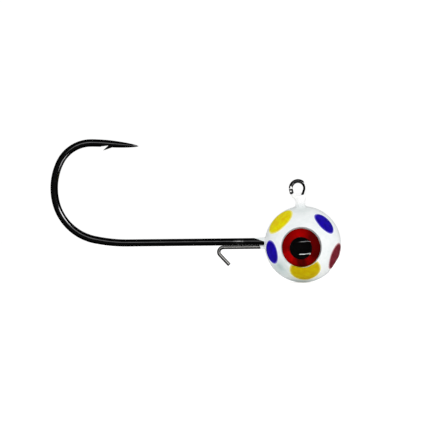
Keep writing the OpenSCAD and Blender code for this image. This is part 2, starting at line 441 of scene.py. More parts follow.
def build_keeper(material):
    back = KEEPER_LOW.x + KEEPER_R + KEEPER_BEND_R
    drop = KEEPER_Z - KEEPER_LOW.z
    turn = math.radians(KEEPER_TURN)
    bend_drop = KEEPER_BEND_R * (1 - math.cos(turn)) + KEEPER_R * abs(math.cos(turn))
    outside = [("line", ANCHOR_X - back), ("arc", KEEPER_BEND_R, KEEPER_TURN),
               ("line", (drop - bend_drop) / math.sin(turn))]
    inside = [("arc", KEEPER_BEND_R, -90), ("line", ANCHOR_L)]
    points, headings = join(walk((ANCHOR_X, KEEPER_Z), 0, inside, KEEPER_PITCH),
                            walk((ANCHOR_X, KEEPER_Z), math.pi, outside, KEEPER_PITCH))
    s = along(points)
    radius = KEEPER_R + SPRUNG * ramp(-points[:, 0], COAT_R - 0.5, COAT_R)
    radius = radius * round_end(s[-1] - s, KEEPER_R, KEEPER_CUT)
    verts, faces, uv = tube(points, headings, radius, radius, 28)
    keeper = face_outward(new_object("keeper", verts, faces, material, uv=uv))
    return stand_in(keeper, "keeper_wire")


# ---- Base coat ----

GATE_ANGLE = math.radians(-33)
GATE_CUT = 0.2  # how far the flat left by the casting gate lies inside the ball
GATE_LIP = 0.06  # how softly the gate's flat meets the ball
SOCKET_LIP = 0.09  # how softly an eye's socket meets the ball
SOCKET_WALL_SLOPE = 5.0
SOCKET_EDGE = 0.5  # width of the ring round the socket that has the socket's own points
BALL_TURNS, BALL_STEPS, SOCKET_STEPS = 192, 120, 24
VOXEL = 0.045  # fineness of the paint on the neck and on the shank
LENS_LOW, LENS_HIGH = local_box("left_eye_lens")
LENS_X, LENS_Z = centre_of("left_eye_lens")
SOCKET_X, SOCKET_Z = LENS_X, LENS_Z + 0.03
SOCKET_FLOOR = local_box("left_eye_adhesive")[0].y
SOCKET_R = (LENS_HIGH.x - LENS_LOW.x) / 2 + 0.08


def gate_radius(directions):
    """The coat's radius in each direction, flattened softly where the gate was cut off."""
    gate = np.array([math.cos(GATE_ANGLE), 0, math.sin(GATE_ANGLE)])
    toward = np.maximum(directions @ gate, 0.2)
    return smooth_min(np.full(len(directions), COAT_R), (COAT_R - GATE_CUT) / toward, GATE_LIP)


def socket_height(x, z):
    """Height of the coat's surface above the middle plane round a domed eye."""
    rho = np.hypot(x - SOCKET_X, z - SOCKET_Z)
    ball = np.sqrt(np.maximum(COAT_R ** 2 - x * x - z * z, 0))
    dish = SOCKET_FLOOR + SOCKET_WALL_SLOPE * np.maximum(rho - SOCKET_R, 0)
    return smooth_min(ball, dish, SOCKET_LIP)


def socket_patch(side):
    """Rings of points round one eye's socket, from its floor out to the ball."""
    angle = full_turn(BALL_TURNS)
    reach = np.concatenate([np.linspace(0.5, SOCKET_R - 0.25, SOCKET_STEPS // 3),
                            np.linspace(SOCKET_R - 0.2, SOCKET_R + SOCKET_EDGE, SOCKET_STEPS)])
    rings = []
    for r in reach:
        x, z = SOCKET_X + r * np.cos(angle), SOCKET_Z + r * np.sin(angle)
        rings.append(np.stack([x, side * socket_height(x, z), z], 1))
    return rings


def ball_shell(name):
    """The ball with a dish for each eye, closed."""
    left, right = socket_patch(SIDES["left"]), socket_patch(SIDES["right"])
    edge = left[-1]
    flat = edge[:, [0, 2]]
    flat /= np.linalg.norm(flat, axis=1)[:, None]
    tilt = np.arcsin(edge[:, 1] / np.linalg.norm(edge, axis=1))
    middle = []
    for k in range(1, BALL_STEPS):
        a = tilt * (1 - 2 * k / BALL_STEPS)
        d = np.stack([np.cos(a) * flat[:, 0], np.sin(a), np.cos(a) * flat[:, 1]], 1)
        middle.append(d * gate_radius(d)[:, None])
    points, faces = closed_rings(left + middle + right[::-1], (SOCKET_X, SOCKET_FLOOR, SOCKET_Z),
                                 (SOCKET_X, -SOCKET_FLOOR, SOCKET_Z))
    return face_outward(new_object(name, points, faces))


def level_surface(field, low, high, name):
    """The zero surface of a distance field inside a box, pulled exactly onto the field."""
    low, high = np.array(low, float), np.array(high, float)
    counts = np.ceil((high - low) / VOXEL).astype(int) + 1
    axes = [low[k] + VOXEL * np.arange(counts[k]) for k in range(3)]
    x, y, z = np.meshgrid(*axes, indexing="ij")
    values = field(x, y, z)
    for k in range(3):
        edge = np.moveaxis(values, k, 0)
        edge[0] = np.maximum(edge[0], VOXEL)
        edge[-1] = np.maximum(edge[-1], VOXEL)
    grid = openvdb.FloatGrid(3 * VOXEL)
    grid.copyFromArray(values.astype(np.float32))
    points, quads = grid.convertToQuads(0.0)
    points = low + np.asarray(points, float) * VOXEL
    step = 0.2 * VOXEL
    for _ in range(3):
        p = points.T
        here = field(*p)
        slope = np.stack([field(*(p + step * e[:, None])) - field(*(p - step * e[:, None]))
                          for e in np.eye(3)], 1) / (2 * step)
        size = np.maximum((slope ** 2).sum(1), 0.05)
        move = np.clip(here / size, -0.4 * VOXEL, 0.4 * VOXEL)
        inside = ((points > low + 1.5 * VOXEL) & (points < high - 1.5 * VOXEL)).all(1)
        points = points - slope * (move * inside)[:, None]
    return face_outward(new_object(name, points, np.asarray(quads)))


# The painted neck's outline, in heights above and distances ahead of the line eye's centre
NECK_HEIGHTS = (-3.4, -2.1, -1.75, -1.4, -1.05, -0.75)
NECK_REAR = (-0.35, -0.35, -0.5, -0.87, -1.13, -1.02)
NECK_NOSE = (1.11, 1.12, 1.18, 1.24, 1.3, 1.33)
NECK_THICK = (0.73, 0.7, 0.62, 0.52, 0.42, 0.38)
NECK_FILLET = 0.42  # between the neck and the ball
PAINT_SUNK = 0.01  # how far inside the coat the neck and the skirt join the ball
CROTCH_TOP = -1.12  # above this the paint leaves the inside of the ring's nose side bare
WEB_NOSE = 0.56
WEB_T = 0.3
PER_DEGREE = 0.02  # length of a degree round the ring
FILM_T = 0.05  # paint on the nose side of the ring, which thins out and ends at FILM_END
FILM_THINNED = 0.03
FILM_END = 60  # in degrees round the ring from the nose, like the turns below
# Paint on the rear of the ring: thickness, and middle and half width of the patch and the stripe
REAR_FILM_T = 0.045
INNER_TURN, INNER_HALF = 158, 24
STRIPE_TURN, STRIPE_HALF = 184, 3.5
FLECK = (-1.13, -0.5, 0.13)  # ahead of and above the line eye's centre, and radius


def ball_field(x, y, z):
    return np.sqrt(x * x + y * y + z * z) - (COAT_R - PAINT_SUNK)


def tangent_frame(kx, kz, degrees):
    """Distances clockwise along the ring's tangent at an angle, and outwards from that tangent."""
    a = math.radians(degrees)
    dx, dz = kx - RING_R * math.cos(a), kz - RING_R * math.sin(a)
    return dx * math.sin(a) - dz * math.cos(a), dx * math.cos(a) + dz * math.sin(a)


def film_field(kx, kz, y):
    """Paint on the outer half of the ring's wire, up its straight side and its nose side."""
    rho = np.hypot(kx, kz)
    angle = np.degrees(np.arctan2(kz, kx))
    down, beside = tangent_frame(kx, kz, -LEAN)
    on_ring = angle > -LEAN
    across = np.where(on_ring, rho - RING_R, beside)
    thickness = FILM_T - FILM_THINNED * ramp(angle, -LEAN, FILM_END)
    radius = LINE_WIRE_R + thickness + (WIRE_R - LINE_WIRE_R) * ramp(down, 0.9, 2.0) * ~on_ring
    wire = np.hypot(across, y) - radius
    ragged = 0.02 * np.sin(9 * y + 5 * kx)
    edge = 0.04 + 0.3 * ramp(angle, 25, 62) - 0.9 * ramp(CROTCH_TOP - kz, -0.1, 0.1)
    film = smooth_max(wire, edge + ragged - across, 0.04)
    film = smooth_max(film, (angle - FILM_END) * PER_DEGREE, 0.04)
    return np.where((angle > 100) | (kx < -0.2), np.maximum(film, 0.2), film)


def rear_film_field(kx, kz, y):
    """Thin paint on the inside of the ring's rear, a stripe across it, and a fleck on its end."""
    rho = np.hypot(kx, kz)
    turn = np.degrees(np.arctan2(kz, kx)) % 360
    # Up the ring from its end the paint goes straight on, so it thins out and sinks into the wire
    up_ring, beside = tangent_frame(kx, kz, RING_END_ANGLE)
    across = np.where(up_ring > 0, beside, rho - RING_R)
    wire = np.hypot(across, y) - LINE_WIRE_R - REAR_FILM_T
    ragged = 0.04 * np.sin(11 * kz + 3)
    patch = PER_DEGREE * (np.abs(turn - INNER_TURN) - INNER_HALF)
    patch = np.maximum(rho - RING_R - 0.07 + ragged, patch)
    stripe = PER_DEGREE * (np.abs(turn - STRIPE_TURN) - STRIPE_HALF) + ragged
    fleck = np.hypot(kx - FLECK[0], kz - FLECK[1]) - FLECK[2]
    return smooth_max(wire, np.minimum(np.minimum(patch, stripe), fleck), 0.03)


def oval_post(kx, rear, nose, y, thick):
    middle, half = (rear + nose) / 2, (nose - rear) / 2
    return (np.hypot((kx - middle) / half, y / thick) - 1) * np.minimum(half, thick)


def neck_field(x, y, z):
    """Paint up the riser, on the nose side of the line eye, and in the crotch under it."""
    kx, kz = x - LINE_EYE.x, z - LINE_EYE.z
    rear, nose, thick = (np.interp(kz, NECK_HEIGHTS, row) for row in (NECK_REAR, NECK_NOSE, NECK_THICK))
    post = smooth_max(oval_post(kx, rear, nose, y, thick), kz - CROTCH_TOP, 0.1)
    web = smooth_max(oval_post(kx, rear, WEB_NOSE, y, WEB_T), kz - NECK_HEIGHTS[-1], 0.1)
    shape = smooth_min(smooth_min(post, web, 0.15), film_field(kx, kz, y), 0.08)
    shape = np.minimum(shape, rear_film_field(kx, kz, y))
    shape = smooth_min(shape, ball_field(x, y, z), NECK_FILLET)
    # Nothing fills the hole that the line goes through
    return smooth_max(shape, LINE_R + 0.015 - np.hypot(kx, kz), 0.04)


SLEEVE_END = COAT_R + 0.75  # how far back paint covers the keeper
SKIRT_L = 0.1  # the skirt's length under the shank, and what its sides and its top add
SKIRT_SIDE_L = 0.95
SKIRT_TOP_L = 0.75
SKIRT_FILLET = 0.25  # between the skirt and the ball


def collar_field(x, y, z):
    """A skirt of paint on the shank where it enters the ball, longer on its top side."""
    shank = np.hypot(y, z - SHANK_Z)
    up = (z - SHANK_Z) / np.maximum(shank, 0.05)
    reach = COAT_R + SKIRT_L + SKIRT_SIDE_L * ramp(up, -0.1, 0.55) + SKIRT_TOP_L * ramp(up, 0.5, 1)
    reach = reach + 0.08 * np.sin(7 * y + 2)
    film = 0.015 + 0.1 * ramp(x, -reach, -COAT_R + 0.1)
    skirt = smooth_max(shank - WIRE_R - film, -x - reach, 0.08)
    keeper = np.hypot(y, z - KEEPER_Z) - KEEPER_R - 0.02 - 0.04 * ramp(x, -SLEEVE_END, -COAT_R)
    sleeve = smooth_max(keeper, -x - SLEEVE_END + 0.1 * np.sin(8 * y + 4 * z), 0.05)
    return smooth_min(smooth_min(skirt, sleeve, 0.1), ball_field(x, y, z), SKIRT_FILLET)


CRUMB = 60  # bits of paint with fewer vertices than this are too small to be paint
NECK_REACH = 2.3  # how far round the riser the neck's paint is worked out
PAINT_REACH = 1.4  # and how far from the middle plane


def build_coat(material, hook, keeper):
    coat = ball_shell("base_coat_paint")
    neck = level_surface(neck_field, (RISER_X - NECK_REACH, -PAINT_REACH, COAT_R - 1.1),
                         (RISER_X + NECK_REACH, PAINT_REACH, LINE_EYE.z + 1.6), "neck_paint")
    collar = level_surface(collar_field, (-COAT_R - 2.1, -PAINT_REACH, -1.6),
                           (-COAT_R + 0.9, PAINT_REACH, 2.1), "collar_paint")
    boolean(coat, neck, "UNION")
    boolean(coat, collar, "UNION")
    discard(neck, collar)
    for inner in (frame["nodes"]["lead_head"], hook, keeper):
        boolean(coat, inner, "DIFFERENCE")
    drop_crumbs(coat, CRUMB)
    coat.data.materials.clear()
    coat.data.materials.append(material)
    coat.data.shade_smooth()
    stand_in(coat, "base_coat")


# ---- Paint dots ----

DOT_T = 0.035  # how thick a dot is over the coat
DOT_SUNK = 0.02  # how far its underside lies in the coat
DOT_LIP = 0.012  # how far its edge lies in the coat
DOT_EDGE = 10  # the higher the sharper the edge
DOT_RAGGED = 0.035
DOT_TURNS, DOT_STEPS = 120, 40
DOT_SPREAD = 0.8  # below 1, the rings of points lie closer towards the edge
# How much wider round the ball, and how much narrower towards the eye, each dot is than a circle
DOT_STRETCH = {"rear_top": (1.08, 0.94), "front_top": (1.18, 0.83), "front_low": (1.03, 1.0),
               "belly": (1.0, 1.0), "rear_low": (1.08, 0.95)}
# Middle of the belly's dots: angle round the ball from the nose, and from the Y axis
BELLY_TURN = math.radians(-85.5)
BELLY_TILT = math.radians(44.5)


def surface_radius(directions, side):
    """How far the coat's surface is from the ball's centre in each direction."""
    radius = gate_radius(directions)
    low, high = np.full(len(directions), 4.6), np.full(len(directions), COAT_R + 0.1)
    for _ in range(24):
        mid = (low + high) / 2
        p = directions * mid[:, None]
        over = np.abs(p[:, 1]) - socket_height(p[:, 0], p[:, 2])
        low, high = np.where(over < 0, mid, low), np.where(over < 0, high, mid)
    near = from_socket(directions * radius[:, None]) < SOCKET_R + SOCKET_EDGE
    near &= directions[:, 1] * side > 0
    return np.where(near, (low + high) / 2, radius)


def from_socket(points):
    return np.hypot(points[:, 0] - SOCKET_X, points[:, 2] - SOCKET_Z)


def dot_centre(directions, node, side):
    """Direction of a dot's middle. It is the mean of the dot's points, unless the eye cuts the dot."""
    if "belly" in node:
        flat = math.sin(BELLY_TILT)
        return np.array([flat * math.cos(BELLY_TURN), side * math.cos(BELLY_TILT),
                         flat * math.sin(BELLY_TURN)])
    middle = directions.mean(0)
    return middle / np.linalg.norm(middle)


def tilted(centre, spin, angle):
    """Directions at an angle from centre, each leaning to its own direction in spin."""
    return np.cos(angle)[:, None] * centre + np.sin(angle)[:, None] * spin


def dot_outline(node, centre, side, reach, seed):
    """Directions all round a dot's middle, and the angle from the middle to the edge in each."""
    angle = full_turn(DOT_TURNS)
    round_ball = np.cross(centre, [0, side, 0])
    round_ball /= np.linalg.norm(round_ball)
    spin = tilted(round_ball, np.cross(centre, round_ball), angle)
    wide, narrow = DOT_STRETCH[node.split("_dot_")[1]]
    oval = 1 / np.hypot(np.cos(angle) / wide, np.sin(angle) / narrow)
    limit = reach * oval * (1 + DOT_RAGGED * waves(angle, seed))
    # Drawn in where it would lie in the eye's socket
    for _ in range(3):
        in_socket = from_socket(COAT_R * tilted(centre, spin, limit)) < SOCKET_R - 0.12
        limit = np.where(in_socket, limit * 0.93, limit)
    return spin, limit


def build_dot(node, material, seed):
    """A disc of paint that follows the coat and thins out at its uneven edge."""
    corners = np.array([v.co for v in frame["nodes"][node].data.vertices]) - np.array(BALL)
    directions = corners / np.linalg.norm(corners, axis=1)[:, None]
    side = SIDES[node.split("_")[0]]
    centre = dot_centre(directions, node, side)
    reach = np.arccos(np.clip(directions @ centre, -1, 1)).max()
    spin, limit = dot_outline(node, centre, side, reach, seed)
    top, bottom, rim = [], [], []
    for share in np.linspace(0, 1, DOT_STEPS + 1)[1:] ** DOT_SPREAD:
        d = tilted(centre, spin, limit * share)
        surface = surface_radius(d, side)[:, None]
        edge = share ** DOT_EDGE
        top.append(d * (surface + DOT_T * math.sqrt(max(1 - edge, 0)) - DOT_LIP * edge))
        bottom.append(d * (surface - DOT_SUNK))
        rim.append(np.full(DOT_TURNS, share))
    middle = surface_radius(centre[None, :], side)[0]
    points, faces = closed_rings(top + bottom[::-1], centre * (middle + DOT_T),
                                 centre * (middle - DOT_SUNK))
    rim = np.concatenate([*rim, *rim[::-1], [0, 0]])
    dot = new_object(node + "_paint", points, faces, material, rim)
    stand_in(face_outward(dot), node)


# ---- Domed eyes ----

LENS_STRAIGHT = 0.35  # height of the lens's straight side under its dome
LENS_RIM = 0.07  # radius of the edge between them
LENS_BEVEL = 0.04  # at the foot of the lens
PAD_BEVEL = 0.03
PRINT_BEVEL = 0.005
IRIS_STEPS = 12


def lens_profile():
    """From the middle of the foot, up the straight side and over the dome, as radius and height."""
    low, high = LENS_LOW.y, LENS_HIGH.y
    radius = (LENS_HIGH.x - LENS_LOW.x) / 2
    dome = high - low - LENS_STRAIGHT
    curve = (radius ** 2 + dome ** 2) / (2 * dome)
    middle = high - curve
    profile = [(0, low), (radius - LENS_BEVEL, low), (radius, low + LENS_BEVEL)]
    side = np.linspace(low + LENS_BEVEL, low + LENS_STRAIGHT - LENS_RIM * 0.7, 9)[1:]
    profile += [(radius, h) for h in side]
    corner = (radius - LENS_RIM, low + LENS_STRAIGHT - LENS_RIM * 0.55)
    for a in np.linspace(0, math.acos(radius / curve), 10)[1:]:
        profile.append((corner[0] + LENS_RIM * math.cos(a), corner[1] + LENS_RIM * math.sin(a)))
    reach = math.asin((profile[-1][0] - 0.03) / curve)
    for a in np.linspace(reach, 0, 49)[:-1]:
        profile.append((curve * math.sin(a), middle + curve * math.cos(a)))
    return profile + [(0, high)]


def disc_size(node):
    """Radius of an eye's disc, and how far its underside and its top are from the middle plane."""
    low, high = local_box(node)
    bottom, top = sorted((abs(low.y), abs(high.y)))
    return (high.x - low.x) / 2, bottom, top


def disc(node, bevel):
    radius, bottom, top = disc_size(node)
    return lathe([(0, bottom), (radius - bevel, bottom), (radius, bottom + bevel), (radius, top - bevel),
                  (radius - bevel, top), (radius * 0.5, top), (0, top)])


def foil_ring(node, pupil):
    """A flat ring of foil. Its hole for the pupil's print is a little off its own centre."""
    radius, bottom, top = disc_size(node)
    hole = disc_size(pupil)[0]
    shift = centre_of(pupil) - centre_of(node)
    # Share of the way out from the hole, and height, of each ring of points
    loop = [(0, bottom), (1, bottom)] + [(1 - k / IRIS_STEPS, top) for k in range(IRIS_STEPS + 1)]
    rings = [eye_ring(hole + (radius - hole) * share, height, *shift * (1 - share))
             for share, height in loop]
    faces = grid_faces(len(loop), EYE_TURNS)
    last = (len(loop) - 1) * EYE_TURNS
    for j in range(EYE_TURNS):
        k = (j + 1) % EYE_TURNS
        faces.append((last + j, last + k, k, j))
    return np.concatenate(rings), faces


def eye_part(name, node, shape, material):
    """A piece of an eye from points given across, up and away from the middle plane."""
    points, faces = shape
    centre = centre_of(node)
    side = SIDES[node.split("_")[0]]
    placed = np.stack([centre[0] + points[:, 0], side * points[:, 2], centre[1] + points[:, 1]], 1)
    return stand_in(face_outward(new_object(name, placed, faces, material)), node)


def build_eyes(adhesive, foil, ink, resin):
    lenses = []
    for name in SIDES:
        pad, iris, pupil, lens = (f"{name}_eye_{part}" for part in ("adhesive", "iris", "pupil", "lens"))
        eye_part(name + "_adhesive_pad", pad, disc(pad, PAD_BEVEL), adhesive)
        eye_part(name + "_iris_foil", iris, foil_ring(iris, pupil), foil)
        eye_part(name + "_pupil_print", pupil, disc(pupil, PRINT_BEVEL), ink)
        dome = eye_part(name + "_lens_dome", lens, lathe(lens_profile()), resin)
        # Light goes through to the foil, as it does in clear resin
        dome.visible_shadow = False
        lenses.append(dome)
    return lenses


# ---- Materials ----

PER_MM = (1 / MM, 1 / MM, 1 / MM)  # turns object coordinates into millimetres


class Nodes:
    """Short names for building a tree of shader nodes."""

    def __init__(self, tree):
        self.tree = tree
        tree.nodes.clear()

    def put(self, socket, value):
        """Links the socket to another node's output, or gives it a plain value."""
        if isinstance(value, bpy.types.NodeSocket):
            self.tree.links.new(value, socket)
        else:
            socket.default_value = value

    def fill(self, node, **inputs):
        for key, value in inputs.items():
            self.put(node.inputs[key.replace("_", " ")], value)

    def node(self, kind, **inputs):
        node = self.tree.nodes.new("ShaderNode" + kind)
        self.fill(node, **inputs)
        return node

    def math(self, operation, *values):
        node = self.node("Math")
        node.operation = operation
        for socket, value in zip(node.inputs, values):
            self.put(socket, value)
        return node.outputs[0]

    def span(self, factor, low, high, from_low=0.0, from_high=1.0, kind="LINEAR"):
        """From low to high while factor goes from from_low to from_high."""
        node = self.node("MapRange", Value=factor, From_Min=from_low, From_Max=from_high,
                         To_Min=low, To_Max=high)
        node.interpolation_type = kind
        return node.outputs["Result"]

    def choose(self, factor, no, yes):
        """One shader or another."""
        node = self.node("MixShader", Fac=factor)
        self.put(node.inputs[1], no)
        self.put(node.inputs[2], yes)
        return node.outputs[0]

    def coords(self, scale=PER_MM, kind="Object"):
        source = self.node("TexCoord").outputs[kind]
        return self.node("Mapping", Scale=scale, Vector=source).outputs["Vector"]

    def noise(self, coords, scale, detail=4, roughness=0.55, distortion=0):
        return self.node("TexNoise", Vector=coords, Scale=scale, Detail=detail, Roughness=roughness,
                         Distortion=distortion).outputs["Fac"]

    def ramp(self, factor, stops):
        """Colours between stops, each a position and a colour."""
        node = self.node("ValToRGB", Fac=factor)
        elements = node.color_ramp.elements
        while len(elements) < len(stops):
            elements.new(0.5)
        for element, (at, colour) in zip(elements, stops):
            element.position = at
            element.color = (*colour, 1)
        return node.outputs["Color"]

    def mix(self, factor, a, b):
        """Between two colours, each a tuple or another node's output."""
        node = self.node("Mix")
        node.data_type = "RGBA"
        self.put(node.inputs["Factor"], factor)
        for socket, value in zip([s for s in node.inputs if s.type == "RGBA"], (a, b)):
            self.put(socket, (*value, 1) if isinstance(value, tuple) else value)
        return [s for s in node.outputs if s.type == "RGBA"][0]


class Material(Nodes):
    """A material made of one principled shader, whose inputs are given with set()."""

    def __init__(self, name):
        self.material = bpy.data.materials.new(name)
        self.material.use_nodes = True
        super().__init__(self.material.node_tree)
        self.shader = self.node("BsdfPrincipled")
        self.node("OutputMaterial", Surface=self.shader.outputs["BSDF"])

    def set(self, **inputs):
        self.fill(self.shader, **inputs)

    def bump(self, height, distance, strength):
        node = self.node("Bump", Height=height, Distance=distance * MM, Strength=strength)
        self.set(Normal=node.outputs["Normal"])

    def attribute(self, name):
        node = self.node("Attribute")
        node.attribute_name = name
        return node.outputs["Fac"]

    def split(self):
        """X, distance from the middle plane, and Z, in the ball's frame, so both sides look alike."""
        x, y, z = self.node("SeparateXYZ", Vector=self.coords()).outputs
        return (self.math("SUBTRACT", x, BALL.x / MM), self.math("ABSOLUTE", y),
                self.math("SUBTRACT", z, BALL.z / MM))

    def distance(self, *centre):
        """Distance in millimetres from a point and from its mirror image."""
        total = 0.0
        for axis, at in zip(self.split(), centre):
            off = self.math("SUBTRACT", axis, at)
            total = self.math("MULTIPLY_ADD", off, off, total)
        return self.math("SQRT", total)


PAINTED_GLINT_X = -10.1  # where lighter specks of painted highlight lie on the shank


def black_nickel():
    """Semi-bright black plating. The wire's UV runs along it in millimetres and round it in radians."""
    n = Material("black_nickel")
    streak = n.noise(n.coords((0.35, 1.0, 1), "UV"), 1.8, 4, 0.5, 0.4)
    press = n.noise(n.coords((2.4, 0.35, 1), "UV"), 1.6, 3, 0.6)
    spot = n.noise(n.coords((1.0, 0.8, 1), "UV"), 2.4, 4, 0.6)
    plating = n.ramp(streak, [(0.3, (0.055, 0.055, 0.058)), (0.7, (0.11, 0.11, 0.112))])
    # Lighter specks behind the ball: painted highlight, standing in for the blotches of the shank's
    # highlight
    near = n.span(n.distance(PAINTED_GLINT_X, 0.4, SHANK_Z + 0.2), 1, 0, 0, 1.9)
    painted_glints = n.span(n.math("MULTIPLY", near, spot), 0, 0.75, 0.28, 0.42)
    n.set(Metallic=1.0, Base_Color=n.mix(painted_glints, plating, (0.5, 0.5, 0.5)),
          Roughness=n.span(streak, 0.05, 0.12, 0.3, 0.7), Specular_Tint=(0.1, 0.1, 0.1, 1))
    n.bump(n.math("ADD", streak, n.math("MULTIPLY", press, 0.25)), 0.01, 0.4)
    return n.material


def stainless():
    n = Material("stainless_wire")
    streak = n.noise(n.coords((0.7, 3.0, 1), "UV"), 3.0, 4, 0.6)
    fine = n.noise(n.coords(), 14.0, 3)
    n.set(Metallic=1.0, Specular_Tint=(0.4, 0.4, 0.4, 1), Roughness=n.span(fine, 0.18, 0.28),
          Base_Color=n.ramp(streak, [(0.25, (0.4, 0.39, 0.38)), (0.75, (0.58, 0.57, 0.55))]))
    n.bump(streak, 0.006, 0.4)
    return n.material


def speckled(name, grain, colours, roughness, bump, **inputs):
    """A material whose colour, roughness and bump all follow one noise."""
    n = Material(name)
    fine = n.noise(n.coords(), *grain)
    n.set(Base_Color=n.ramp(fine, colours), Roughness=n.span(fine, *roughness), **inputs)
    n.bump(fine, *bump)
    return n.material


def cast_lead():
    colours = [(0.3, (0.16, 0.16, 0.17)), (0.7, (0.33, 0.33, 0.35))]
    return speckled("cast_lead", (1.2, 6, 0.6), colours, (0.45, 0.7), (0.05, 0.6), Metallic=0.9)


def pupil_print():
    colours = [(0.3, (0.001, 0.001, 0.001)), (0.7, (0.003, 0.002, 0.002))]
    return speckled("pupil_print", (6.0, 3), colours, (0.7, 0.8), (0.005, 0.3), Specular_IOR_Level=0.0)


def lens_resin():
    colours = [(0.3, (1.0, 0.98, 0.97)), (0.7, (1.0, 1.0, 1.0))]
    return speckled("lens_resin", (0.8, 2), colours, (0.0, 0.003), (0.01, 0.1),
                    Transmission_Weight=1.0, IOR=1.5)


def adhesive_foam():
    colours = [(0.35, (0.6, 0.6, 0.55)), (0.65, (0.82, 0.82, 0.78))]
    return speckled("adhesive_foam", (9.0, 2), colours, (0.8, 0.8), (0.03, 0.8))


# Patches of painted shade on the white paint: middle, reach, strength and colour
PAINTED_SHADE_PATCHES = (
    ((-0.3, 3.0, 5.3), 1.7, 0.45, (0.62, 0.7, 0.68)),
    ((-3.8, 3.2, -3.6), 2.4, 0.9, (0.42, 0.55, 0.54)),
    ((-0.5, 1.6, -5.9), 2.6, 0.5, (0.38, 0.46, 0.4)),
)


def white_paint():
    """White, painted brighter on the neck as painted light, and greyer in patches of painted shade: under
    the neck, low at the rear and at the bottom.
    """
    n = Material("white_paint")
    soft = n.noise(n.coords(), 0.35, 3)
    grain = n.noise(n.coords(), 6.0, 3, 0.6)
    peel = n.noise(n.coords(), 1.6, 3, 0.55)
    tint = n.ramp(soft, [(0.3, (0.84, 0.89, 0.89)), (0.7, (0.93, 0.95, 0.95))])
    tint = n.mix(n.span(peel, 0.0, 0.35, 0.42, 0.7), tint, (0.74, 0.8, 0.79))
    # Each patch greys the white as painted shade
    for centre, reach, share, colour in PAINTED_SHADE_PATCHES:
        patch = n.span(n.distance(*centre), share, 0, 0, reach)
        tint = n.mix(n.math("MULTIPLY", patch, n.span(peel, 0.6, 1.3)), tint, colour)
    # Painted light: the neck's white is raised to make up for the shade it gets from the ball and its own
    # curve
    painted_light_on_neck = n.span(n.split()[2], 0, 1, COAT_R - 0.1, COAT_R + 0.6)
    n.set(Base_Color=n.mix(painted_light_on_neck, tint, (0.99, 0.99, 0.99)), Roughness=n.span(grain, 0.28, 0.42),
          Coat_Weight=0.15, Coat_Roughness=0.15)
    n.bump(n.math("ADD", n.math("MULTIPLY", grain, 0.3), peel), 0.02, 0.5)
    return n.material


# Paint of the dots: two colours that it is mottled with, its rim, and a painted sheen on its outer side, if
# any
DOT_COLOURS = {
    "yellow": ((0.72, 0.5, 0.0), (0.74, 0.72, 0.0), (0.88, 0.88, 0.4), None),
    # A darker copy of the yellow for the belly dots: painted shade on the underside
    "belly_yellow_painted_shade": ((0.5, 0.33, 0.0), (0.56, 0.46, 0.0), (0.85, 0.85, 0.3), None),
    "blue": ((0.005, 0.0, 0.22), (0.01, 0.0, 0.42), (0.3, 0.26, 0.72), None),
    # The red's last colour is a painted sheen, pale pink
    "red": ((0.13, 0.008, 0.015), (0.2, 0.02, 0.035), (0.75, 0.5, 0.52), (0.82, 0.62, 0.66)),
}
PAINTED_SHEEN_SPAN = (1.7, 2.5)  # distance from the middle plane, with noise added, where the painted sheen stops


def dot_paint(name, low, high, rim_colour, painted_sheen):
    n = Material(name)
    blotch = n.noise(n.coords(), 1.3, 4, 0.6, 0.5)
    speck = n.noise(n.coords(), 7.0, 3)
    body = n.ramp(blotch, [(0.34, low), (0.66, high)])
    if painted_sheen:
        # Painted reflection: the paint pales near the middle plane, where the dot turns towards the ball's
        # edge
        ragged = n.math("MULTIPLY_ADD", blotch, 2.4, n.split()[1])
        body = n.mix(n.span(ragged, 1, 0, *PAINTED_SHEEN_SPAN), body, painted_sheen)
    wobble = n.math("MULTIPLY", n.math("SUBTRACT", speck, 0.5), 0.12)
    edge = n.span(n.math("ADD", n.attribute("rim"), wobble), 0, 1, 0.86, 1.0)
    n.set(Base_Color=n.mix(edge, body, rim_colour), Roughness=n.span(speck, 0.35, 0.55),
          Specular_IOR_Level=0.03)
    n.bump(n.math("ADD", blotch, n.math("MULTIPLY", speck, 0.3)), 0.02, 0.5)
    return n.material


FOIL_TOP = local_box("left_eye_iris")[1].y
FOIL_RIM = (2.8, 3.05)  # where the foil darkens, from the iris's centre
# Painted light and shade on the iris's red foil round the pupil, from the rear through below, the nose and
# above to the rear
IRIS_PAINTED_LIGHT = ((0.0, 0.4), (0.06, 0.85), (0.13, 1.0), (0.22, 0.2), (0.28, 0.2), (0.34, 0.7), (0.4, 0.25),
              (0.5, 0.21), (0.64, 0.17), (0.71, 0.5), (0.79, 0.62), (0.88, 0.42), (1.0, 0.4))


def iris_foil():
    """Red foil with painted light and shade round the pupil, from dark to bright, and a dark outer rim."""
    n = Material("iris_foil")
    centre_x, centre_z = centre_of("left_eye_iris")
    x, _, z = n.split()
    angle = n.math("ARCTAN2", n.math("SUBTRACT", z, centre_z), n.math("SUBTRACT", x, centre_x))
    fine = n.noise(n.coords(), 12.0, 3)
    soft = n.noise(n.coords(), 1.2, 4, 0.6, 0.6)
    turned = n.math("MULTIPLY_ADD", n.math("SUBTRACT", soft, 0.5), 0.6, angle)
    # Painted light and shade: bright crescents and dark sides, as the dome would gather and lose light
    iris_light_and_shade = n.ramp(n.span(turned, 0, 1, -math.pi, math.pi),
                   [(share, (red, 0.0, 0.0)) for share, red in IRIS_PAINTED_LIGHT])
    out = n.math("MULTIPLY_ADD", fine, 0.1, n.distance(centre_x, FOIL_TOP, centre_z))
    rim = n.span(out, 0, 0.7, *FOIL_RIM)
    n.set(Metallic=1.0, Roughness=0.5, Base_Color=n.mix(rim, iris_light_and_shade, (0.01, 0.0, 0.0)))
    n.bump(fine, 0.01, 0.4)
    return n.material


# ---- Stage ----

